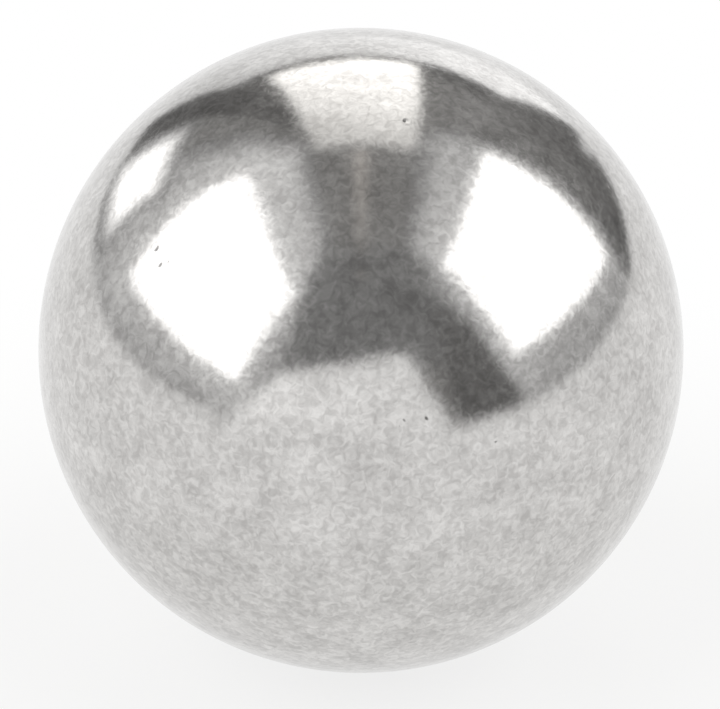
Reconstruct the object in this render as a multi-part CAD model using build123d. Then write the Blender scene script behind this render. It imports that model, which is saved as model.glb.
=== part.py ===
from build123d import *
import os

# A polished steel ball, ground from one piece of through-hardened steel.
# Millimetres, +Z up. The origin is the centre of the ball, the point that every
# socket, race or cup that holds it is set out from.

BALL_DIAMETER = 25.4  # one inch, a common stock size of loose ball


def make_steel_ball():
    """The whole ball: a true sphere about the origin, with no flat, bore or seam."""
    return Sphere(radius=BALL_DIAMETER / 2)


NODES = {"steel_ball": make_steel_ball}

os.makedirs("parts", exist_ok=True)
for name, make in NODES.items():
    piece = make()
    piece.label = name
    export_step(piece, f"parts/{name}.step")
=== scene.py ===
import math
import random

import bmesh
import bpy
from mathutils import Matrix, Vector


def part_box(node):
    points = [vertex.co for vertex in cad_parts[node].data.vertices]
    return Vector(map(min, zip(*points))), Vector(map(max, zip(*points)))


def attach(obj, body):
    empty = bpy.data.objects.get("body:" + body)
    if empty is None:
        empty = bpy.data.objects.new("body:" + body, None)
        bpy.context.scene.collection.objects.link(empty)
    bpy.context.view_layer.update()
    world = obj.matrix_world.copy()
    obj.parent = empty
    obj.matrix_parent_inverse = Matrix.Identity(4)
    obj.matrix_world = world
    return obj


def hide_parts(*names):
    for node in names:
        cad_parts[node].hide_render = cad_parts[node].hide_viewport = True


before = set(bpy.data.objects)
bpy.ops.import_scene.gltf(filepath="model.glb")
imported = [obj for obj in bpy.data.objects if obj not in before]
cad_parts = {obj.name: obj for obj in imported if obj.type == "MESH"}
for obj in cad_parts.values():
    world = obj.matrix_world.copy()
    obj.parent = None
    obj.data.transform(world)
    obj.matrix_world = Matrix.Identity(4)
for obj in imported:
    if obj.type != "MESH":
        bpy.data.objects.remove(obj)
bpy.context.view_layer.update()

# A polished steel ball in a small tent of softboxes. Metres and degrees, except for the widths of
# the pits and the lens, which are in millimetres.
# Directions are (azimuth, elevation) from the middle of the ball: azimuth 0 faces the
# camera, +90 is the camera's right, and elevation is above the horizon.

MM = 0.001
NODE = "steel_ball"
LOW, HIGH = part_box(NODE)
RADIUS = (HIGH.z - LOW.z) / 2
CENTRE = (LOW + HIGH) / 2
FLOOR_Z = LOW.z

# --- Camera -----------------------------------------------------------------
CAMERA_ELEVATION = 30
LENS_MM = 300
BALL_SHARE = 0.896  # the ball's width as a share of the picture's
BALL_ABOVE_MIDDLE = 0.013  # how far the ball sits above the middle, in radii
BALL_RIGHT_OF_MIDDLE = 0.003

# --- Ball mesh --------------------------------------------------------------
DIVISIONS = 92  # quads along each side of each of the six patches
PIT_CUTS = 5  # extra cuts across each quad near a pit
PIT_MARGIN = 1.6  # how far the finer mesh reaches, in pit radii
PIT_DEPTH = 0.045  # depth over width
PIT_LIP = 0.12  # height of the raised lip over the pit's depth

# Pin-prick pits: azimuth, elevation and width in millimetres.
PITS = [
    (-52, 39, 0.34),
    (-49, 37, 0.42),
    (-47, 38, 0.20),
    (26, 72, 0.32),
    (8, 18, 0.28),
    (12, 18, 0.30),
    (7, 17, 0.18),
    (-21, 4, 0.32),
    (24, 12, 0.24),
]

# The pits at the sides and the back are drawn at random: how many, and the ranges of their azimuth,
# the sine of their elevation, and their width in millimetres.
HIDDEN_PITS = 14
HIDDEN_PIT_SEED = 7
HIDDEN_PIT_AZIMUTHS = (70, 290)
HIDDEN_PIT_SINES = (-0.9, 0.9)
HIDDEN_PIT_WIDTHS = (0.10, 0.24)


def direction(azimuth, elevation):
    """The unit vector from the middle of the ball towards an azimuth and an elevation."""
    a, e = math.radians(azimuth), math.radians(elevation)
    return Vector((math.sin(a) * math.cos(e), -math.cos(a) * math.cos(e), math.sin(e)))


# --- Ball -------------------------------------------------------------------

# The six patches of the sphere: outward axis, the patch's right and its up.
PATCHES = [
    ((1, 0, 0), (0, 1, 0), (0, 0, 1)),
    ((-1, 0, 0), (0, -1, 0), (0, 0, 1)),
    ((0, 1, 0), (-1, 0, 0), (0, 0, 1)),
    ((0, -1, 0), (1, 0, 0), (0, 0, 1)),
    ((0, 0, 1), (1, 0, 0), (0, 1, 0)),
    ((0, 0, -1), (1, 0, 0), (0, -1, 0)),
]
MAP_COLUMNS, MAP_ROWS = 3, 2
MAP_MARGIN = 0.01  # the empty border round each patch in the map, as a share of the patch
MERGE_DISTANCE = 1e-6  # nearer than this, points on the patches' edges become one; the radius is 1


def add_patch(bm, uv, index):
    """One sixth of the sphere, as a grid whose quads are even in angle, with its cell of the map."""
    out, right, up = (Vector(v) for v in PATCHES[index])
    column, row = index % MAP_COLUMNS, index // MAP_COLUMNS
    shares = [i / DIVISIONS for i in range(DIVISIONS + 1)]
    slopes = [math.tan((s - 0.5) * math.pi / 2) for s in shares]
    grid = [[bm.verts.new((out + right * x + up * y).normalized()) for x in slopes] for y in slopes]
    places = [MAP_MARGIN + s * (1 - 2 * MAP_MARGIN) for s in shares]
    for j in range(DIVISIONS):
        for i in range(DIVISIONS):
            corners = [(i, j), (i + 1, j), (i + 1, j + 1), (i, j + 1)]
            face = bm.faces.new([grid[b][a] for a, b in corners])
            face.smooth = True
            for loop, (a, b) in zip(face.loops, corners):
                loop[uv].uv = ((column + places[a]) / MAP_COLUMNS, (row + places[b]) / MAP_ROWS)


def all_pits():
    """(direction, radius in radians) of every pit: the placed ones, and a few on the far sides."""
    pits = [(direction(a, e), w * MM / 2 / RADIUS) for a, e, w in PITS]
    draw = random.Random(HIDDEN_PIT_SEED)
    while len(pits) < len(PITS) + HIDDEN_PITS:
        azimuth = draw.uniform(*HIDDEN_PIT_AZIMUTHS)
        elevation = math.degrees(math.asin(draw.uniform(*HIDDEN_PIT_SINES)))
        width = draw.uniform(*HIDDEN_PIT_WIDTHS)
        pits.append((direction(azimuth, elevation), width * MM / 2 / RADIUS))
    return pits


def pit_height(share):
    """Height of a pit over its depth, at a share of its radius: a round bowl with a low lip."""
    if share < 1:
        return -((1 - share * share) ** 2) + PIT_LIP * share * share
    fade = max(0.0, 1 - (share - 1) / (PIT_MARGIN - 1))
    return PIT_LIP * fade * fade


def make_ball():
    """The ball's mesh: an even sphere, finer round its pits, which are real hollows."""
    bm = bmesh.new()
    uv = bm.loops.layers.uv.new("OFBake")
    for index in range(len(PATCHES)):
        add_patch(bm, uv, index)
    bmesh.ops.remove_doubles(bm, verts=bm.verts, dist=MERGE_DISTANCE)

    pits = all_pits()
    quad = math.pi / 2 / DIVISIONS
    for middle, radius in pits:
        reach = math.cos(radius * PIT_MARGIN + quad)
        near = [f for f in bm.faces if f.calc_center_median().normalized().dot(middle) > reach]
        edges = {e for f in near for e in f.edges}
        bmesh.ops.subdivide_edges(bm, edges=list(edges), cuts=PIT_CUTS, use_grid_fill=True)

    in_pit = set()
    for v in bm.verts:
        v.co.normalize()
        height = 0.0
        for middle, radius in pits:
            angle = (v.co - middle).length
            if angle < radius * PIT_MARGIN:
                height += 2 * radius * PIT_DEPTH * pit_height(angle / radius)
                in_pit.add(v.index)
        v.co = CENTRE + v.co * RADIUS * (1 + height)
    bm.normal_update()
    mesh = bpy.data.meshes.new("polished_ball")
    bm.to_mesh(mesh)
    bm.free()

    normals = [
        v.normal.copy() if v.index in in_pit else (v.co - CENTRE).normalized()
        for v in mesh.vertices
    ]
    mesh.normals_split_custom_set_from_vertices(normals)
    ball = bpy.data.objects.new("polished_ball", mesh)
    bpy.context.scene.collection.objects.link(ball)
    return ball


# --- Materials --------------------------------------------------------------


def new_material(name):
    """An empty node material, and its tree."""
    material = bpy.data.materials.new(name)
    material.use_nodes = True
    material.node_tree.nodes.clear()
    return material, material.node_tree


def add(tree, kind, inputs=None, **settings):
    """A node of that kind. inputs gives its inputs, by name or place, plain values or sockets."""
    node = tree.nodes.new(kind)
    for name, value in settings.items():
        setattr(node, name, value)
    for name, value in (inputs or {}).items():
        if isinstance(value, bpy.types.NodeSocket):
            tree.links.new(value, node.inputs[name])
        else:
            node.inputs[name].default_value = value
    return node


def noise(tree, place, size, detail=2, distortion=0, roughness=0.5):
    """A noise of 0 to 1 whose lumps are about that size, in metres."""
    inputs = {
        "Vector": place,
        "Scale": 1 / size,
        "Detail": detail,
        "Roughness": roughness,
        "Distortion": distortion,
    }
    return add(tree, "ShaderNodeTexNoise", inputs).outputs["Fac"]


def remap(tree, value, low, high, to_low, to_high, smooth=False):
    """value's range low to high, spread over to_low to to_high and held at its ends."""
    inputs = {
        "Value": value,
        "From Min": low,
        "From Max": high,
        "To Min": to_low,
        "To Max": to_high,
    }
    kind = "SMOOTHSTEP" if smooth else "LINEAR"
    return add(tree, "ShaderNodeMapRange", inputs, interpolation_type=kind).outputs["Result"]


def math_node(tree, operation, a, b):
    """The result of one operation on a and b, each a number or a socket."""
    return add(tree, "ShaderNodeMath", {0: a, 1: b}, operation=operation).outputs["Value"]


# The places of a colour mix's sockets.
MIX_FACTOR, MIX_A, MIX_B = 0, 6, 7
MIX_RESULT = 2


def mix_colour(tree, factor, a, b):
    """The colour that lies that share of the way from a to b."""
    inputs = {MIX_FACTOR: factor, MIX_A: a, MIX_B: b}
    return add(tree, "ShaderNodeMix", inputs, data_type="RGBA").outputs[MIX_RESULT]


STEEL_LIGHT = (0.720, 0.710, 0.696, 1)
STEEL_DARK = (0.430, 0.420, 0.410, 1)
CLOUD_SIZE = 1.5 * MM
SWIRL_SIZE = 0.32 * MM
GRAIN_SIZE = 0.20 * MM
LAP_SIZE = 0.85 * MM
POLISHED_ROUGHNESS = 0.14
GRAINY_ROUGHNESS = 0.165
LAP_HEIGHT = 0.0038 * MM
GRAIN_HEIGHT = 0.0003 * MM

# Where each noise begins and ends to act on the surface.
SWIRL_RANGE = (0.33, 0.67)
CLOUD_RANGE = (0.3, 0.7)
SATIN_RANGE = (0.40, 0.66)
PATCH_RANGE = (0.35, 0.65)
# The swirls' and the clouds' shares of the colour, and the satin left where a cloud thins it.
SWIRL_SHARE = 0.6
CLOUD_SHARE = 1 - SWIRL_SHARE
THIN_SATIN = 0.55


def polished_steel():
    """Polished bearing steel: a mirror broken by a fine satin grain and a lapped ripple."""
    material, tree = new_material("polished_steel")
    place = add(tree, "ShaderNodeTexCoord").outputs["Object"]

    clouds = noise(tree, place, CLOUD_SIZE, detail=4)
    swirl = noise(tree, place, SWIRL_SIZE, detail=2, distortion=0.9, roughness=0.55)
    grain = noise(tree, place, GRAIN_SIZE, detail=2, distortion=1.2)
    lap = noise(tree, place, LAP_SIZE, detail=1, distortion=1.0)

    swirly = remap(tree, swirl, *SWIRL_RANGE, 0, SWIRL_SHARE)
    cloudy = remap(tree, clouds, *CLOUD_RANGE, 0, CLOUD_SHARE)
    colour = mix_colour(tree, math_node(tree, "ADD", swirly, cloudy), STEEL_DARK, STEEL_LIGHT)

    # The satin stands in curling strokes, so that the mirror and the satin meet in a mottled edge.
    grainy = remap(tree, swirl, *SATIN_RANGE, 0, 1, smooth=True)
    patchy = remap(tree, clouds, *PATCH_RANGE, THIN_SATIN, 1)
    satin = math_node(tree, "MULTIPLY", grainy, patchy)
    roughness = remap(tree, satin, 0, 1, POLISHED_ROUGHNESS, GRAINY_ROUGHNESS)

    ripple = add(tree, "ShaderNodeBump", {"Strength": 1, "Distance": LAP_HEIGHT, "Height": lap})
    fine = add(
        tree,
        "ShaderNodeBump",
        {"Strength": 1, "Distance": GRAIN_HEIGHT, "Height": grain, "Normal": ripple.outputs["Normal"]},
    )
    shader = add(
        tree,
        "ShaderNodeBsdfPrincipled",
        {
            "Base Color": colour,
            "Metallic": 1,
            "Roughness": roughness,
            "Normal": fine.outputs["Normal"],
        },
    )
    add(tree, "ShaderNodeOutputMaterial", {"Surface": shader.outputs["BSDF"]})
    return material


def glow(
    name, level, left=1.0, right=1.0, top=1.0, bottom=1.0, fade=0.0, mottle=0.0, tint=(1, 1, 1, 1)
):
    """A luminous cloth or card. left, right, top and bottom are shares of its level at those edges,
    and with a fade it sinks to the level of the room over that share of its width and height. mottle
    is how far the folds of the cloth swing its level, as a share."""
    material, tree = new_material(name)
    place = add(tree, "ShaderNodeTexCoord").outputs["UV"]
    split = add(tree, "ShaderNodeSeparateXYZ", {0: place})
    x, y = split.outputs["X"], split.outputs["Y"]
    across = remap(tree, x, 0, 1, left, right)
    down = remap(tree, y, 0, 1, bottom, top)
    strength = math_node(tree, "MULTIPLY", math_node(tree, "MULTIPLY", across, down), level)
    if fade:
        inner = [
            math_node(tree, "MINIMUM", c, math_node(tree, "SUBTRACT", 1, c)) for c in (x, y)
        ]
        edge = math_node(tree, "MINIMUM", *inner)
        share = remap(tree, edge, 0, fade, 0, 1, smooth=True)
        above = math_node(tree, "SUBTRACT", strength, ROOM)
        strength = math_node(tree, "ADD", math_node(tree, "MULTIPLY", above, share), ROOM)
    if mottle:
        cloth = add(tree, "ShaderNodeTexCoord").outputs["Object"]
        folds = noise(tree, cloth, FOLD_SIZE, detail=3, distortion=1)
        swing = remap(tree, folds, *LUMP_RANGE, 1 - mottle, 1 + mottle)
        strength = math_node(tree, "MULTIPLY", strength, swing)
    light = add(tree, "ShaderNodeEmission", {"Color": tint, "Strength": strength})
    add(tree, "ShaderNodeOutputMaterial", {"Surface": light.outputs["Emission"]})
    return material


# --- Studio -----------------------------------------------------------------
PANEL_STEPS = 12

# How strongly each surface of the studio glows, where 1 renders as white.
ROOM = 0.30
FLAG = 0.165
MIDDLE_FLAG = 0.24
SOFTBOX = 2.35
BACK_SOFTBOX = 1.95
KICKER = 3.1
FRONT_CARD = 1.05
SWEEP = 1.05
LEFT_SIDE = 0.64
RIGHT_SIDE = 0.72
OVERHEAD_STRIP = 0.66
STREAK = 0.75

ROOM_TINT = (1, 0.99, 0.975, 1)
CLOTH_TINT = (1, 0.99, 0.97, 1)
FLAG_TINT = (1, 0.99, 0.98, 1)
STRIP_TINT = (1, 0.95, 0.9, 1)

FOLD_SIZE = 0.06
WALL_PATCH = 0.3
WALL_SWING = 0.3  # how far the patches of the walls swing the room's level, as a share
LUMP_RANGE = (0.3, 0.7)  # where the noise of the folds and the walls begins and ends to act

ROOM_SIZE = 6.0
TABLE_RADIUS = 2.5
TABLE_SIDES = 128
PALE = (0.86, 0.86, 0.85, 1)
# The floor's lift to white: its share at the ball, and where it begins to grow and is whole, in
# ball radii.
LIFT_NEAR = 0.75
LIFT_START = 1.0
LIFT_END = 2.6


def stage_mesh(name, bm, material, seen=False):
    """A finished stage object. One that isn't seen still lights the ball and shows in it, and the
    camera looks through it."""
    mesh = bpy.data.meshes.new(name)
    bm.to_mesh(mesh)
    bm.free()
    mesh.materials.append(material)
    thing = bpy.data.objects.new(name, mesh)
    bpy.context.scene.collection.objects.link(thing)
    thing.visible_camera = seen
    return thing


def sheet_between(name, corners, material):
    """A sheet with straight edges between four points: top left, top right, bottom right, bottom left."""
    bm = bmesh.new()
    uv = bm.loops.layers.uv.new("across_and_up")
    top_left, top_right, bottom_right, bottom_left = corners
    steps = [i / PANEL_STEPS for i in range(PANEL_STEPS + 1)]

    def point(s, t):
        return bottom_left.lerp(bottom_right, s).lerp(top_left.lerp(top_right, s), t)

    grid = [[bm.verts.new(point(s, t)) for s in steps] for t in steps]
    for j in range(PANEL_STEPS):
        for i in range(PANEL_STEPS):
            places = [(i, j), (i + 1, j), (i + 1, j + 1), (i, j + 1)]
            face = bm.faces.new([grid[b][a] for a, b in places])
            for loop, (a, b) in zip(face.loops, places):
                loop[uv].uv = (steps[a], steps[b])
    return stage_mesh(name, bm, material)


def panel(name, distance, directions, material):
    """A flat panel that far from the middle of the ball, whose corners lie in those directions."""
    corners = [CENTRE + direction(a, e) * distance for a, e in directions]
    return sheet_between(name, corners, material)


def make_room():
    """The dim room round the tent, which lights the ball and shows in it but isn't seen itself."""
    material, tree = new_material("room_walls")
    place = add(tree, "ShaderNodeTexCoord").outputs["Object"]
    uneven = noise(tree, place, WALL_PATCH, detail=5, distortion=1)
    level = remap(tree, uneven, *LUMP_RANGE, ROOM * (1 - WALL_SWING), ROOM * (1 + WALL_SWING))
    light = add(tree, "ShaderNodeEmission", {"Color": ROOM_TINT, "Strength": level})
    add(tree, "ShaderNodeOutputMaterial", {"Surface": light.outputs["Emission"]})
    bm = bmesh.new()
    bmesh.ops.create_cube(bm, size=ROOM_SIZE)
    stage_mesh("room", bm, material)


def make_table():
    """The pale floor, with the ball's soft shadow. It's lifted towards white for the camera, and for
    mirrored and transmitted rays too, so that the steel shows the floor that the camera sees. The
    shadow fades out where the lift is whole."""
    material, tree = new_material("table_top")
    place = add(tree, "ShaderNodeTexCoord").outputs["Object"]
    away = add(tree, "ShaderNodeVectorMath", {0: place}, operation="LENGTH").outputs["Value"]
    lift = remap(tree, away, LIFT_START * RADIUS, LIFT_END * RADIUS, LIFT_NEAR, 1, smooth=True)
    path = add(tree, "ShaderNodeLightPath")
    looked_at = path.outputs["Is Camera Ray"]
    for ray in ("Is Glossy Ray", "Is Transmission Ray"):
        looked_at = math_node(tree, "MAXIMUM", looked_at, path.outputs[ray])
    share = math_node(tree, "MULTIPLY", lift, looked_at)
    matt = add(tree, "ShaderNodeBsdfDiffuse", {"Color": PALE})
    white = add(tree, "ShaderNodeEmission", {"Color": (1, 1, 1, 1), "Strength": 1})
    seen = add(tree, "ShaderNodeMixShader", {0: share, 1: matt.outputs[0], 2: white.outputs[0]})
    add(tree, "ShaderNodeOutputMaterial", {"Surface": seen.outputs[0]})
    bm = bmesh.new()
    bmesh.ops.create_circle(bm, cap_ends=True, segments=TABLE_SIDES, radius=TABLE_RADIUS)
    bmesh.ops.translate(bm, verts=bm.verts, vec=(CENTRE.x, CENTRE.y, 0))
    table = stage_mesh("table", bm, material, seen=True)
    table.location.z = FLOOR_Z


def make_softboxes():
    """The lights of the tent: two big softboxes, one behind and above, and a small kicker."""
    white = glow("softbox_cloth", SOFTBOX, fade=0.032)
    panel("left_softbox", 0.50, [(-117.5, 55), (-31, 45), (-44, 11), (-104, 12.5)], white)
    panel("right_softbox", 0.50, [(46, 52), (130, 48), (115, 8.5), (57, 15)], white)
    back = glow(
        "back_softbox_cloth", BACK_SOFTBOX, left=1.1, right=0.9, top=0.45, bottom=1.15, tint=CLOTH_TINT
    )
    panel("back_softbox", 0.60, [(137, 68), (218, 70), (197, 24.5), (170, 24.5)], back)
    kicker = glow("kicker_cloth", KICKER, fade=0.48)
    panel("kicker", 0.80, [(-147, 24), (-118, 29), (-120, 3), (-148, -2)], kicker)


def make_cards():
    """White cards and the dim cloth round the softboxes, which the ball shows as paler greys."""
    front = glow("front_card_face", FRONT_CARD, left=1.15, right=0.95)
    panel("front_card", 1.0, [(-29, 19), (17.5, 28), (31, 0), (-44, 0)], front)
    wall = glow("sweep_cloth", SWEEP, left=1.45, right=0.78)
    panel("sweep_wall", 1.10, [(155, 19), (203.5, 18.5), (204, 0), (155, 0)], wall)
    left = glow(
        "left_side_cloth", LEFT_SIDE, left=1.45, right=1.5, bottom=0.68, fade=0.2, mottle=0.4
    )
    panel("left_side", 2.0, [(-146, 66), (-14, 57), (-32, -6), (-132, -6)], left)
    right = glow("right_side_cloth", RIGHT_SIDE, left=1.35, bottom=0.65, fade=0.2, mottle=0.4)
    panel("right_side", 2.0, [(31, 63), (150, 62), (132, -6), (45, -6)], right)
    strip = glow("overhead_strip_cloth", OVERHEAD_STRIP, tint=STRIP_TINT)
    panel("overhead_strip", 0.60, [(172, 76), (-172, 76), (-0.5, 63), (0.5, 63)], strip)
    panel("ceiling_lamp", 0.60, [(-1.2, 57.5), (1.2, 57.5), (1.2, 55), (-1.2, 55)], strip)
    streak = glow("streak_cloth", STREAK)
    panel("streak", 0.62, [(136, 12), (139, 12), (154, 0), (150, 0)], streak)


def make_flags():
    """Dark flags, which cut the spill beside the softboxes and show as the ball's darkest greys."""
    dark = glow("flag_cloth", FLAG, mottle=0.45, tint=FLAG_TINT)
    panel("front_flag", 0.65, [(30, 40), (42, 38), (57, 0), (33, 0)], dark)
    fading = glow("fading_flag_cloth", FLAG, top=2.2, mottle=0.45, tint=FLAG_TINT)
    panel("left_flag", 0.65, [(-164, 50), (-146, 57), (-147, 1), (-156, -1)], dark)
    panel("right_flag", 0.65, [(135, 50), (157, 41), (154, 2), (117, -1)], fading)
    grey = glow("middle_flag_cloth", MIDDLE_FLAG, fade=0.15, mottle=0.7)
    panel("middle_flag", 1.5, [(-30, 62), (34, 64), (40, 20), (-30, 14)], grey)
    panel("gap_flag", 1.3, [(153, 27), (207, 27), (207, 16), (153, 16)], dark)


def make_world():
    """White behind everything. The room hides it from the ball, and the camera looks through the room."""
    world = bpy.data.worlds.new("white_surround")
    bpy.context.scene.world = world
    world.use_nodes = True
    world.node_tree.nodes["Background"].inputs["Color"].default_value = (1, 1, 1, 1)
    world.node_tree.nodes["Background"].inputs["Strength"].default_value = 1


def make_camera():
    """A long lens, looking down at the ball from the front."""
    data = bpy.data.cameras.new("camera")
    data.lens = LENS_MM
    camera = bpy.data.objects.new("camera", data)
    bpy.context.scene.collection.objects.link(camera)
    half_angle = math.atan(BALL_SHARE * data.sensor_width / 2 / LENS_MM)
    back = direction(0, CAMERA_ELEVATION)
    up = direction(180, 90 - CAMERA_ELEVATION)
    right = Vector((1, 0, 0))
    offset = RADIUS * (up * BALL_ABOVE_MIDDLE + right * BALL_RIGHT_OF_MIDDLE)
    camera.location = CENTRE - offset + back * RADIUS / math.sin(half_angle)
    camera.rotation_mode = "QUATERNION"
    camera.rotation_quaternion = (-back).to_track_quat("-Z", "Y")
    bpy.context.scene.camera = camera


make_camera()
ball = make_ball()
ball.data.materials.append(polished_steel())
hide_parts(NODE)
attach(ball, "root")

make_world()
make_room()
make_table()
make_softboxes()
make_cards()
make_flags()
bpy.context.scene.view_settings.view_transform = "Standard"
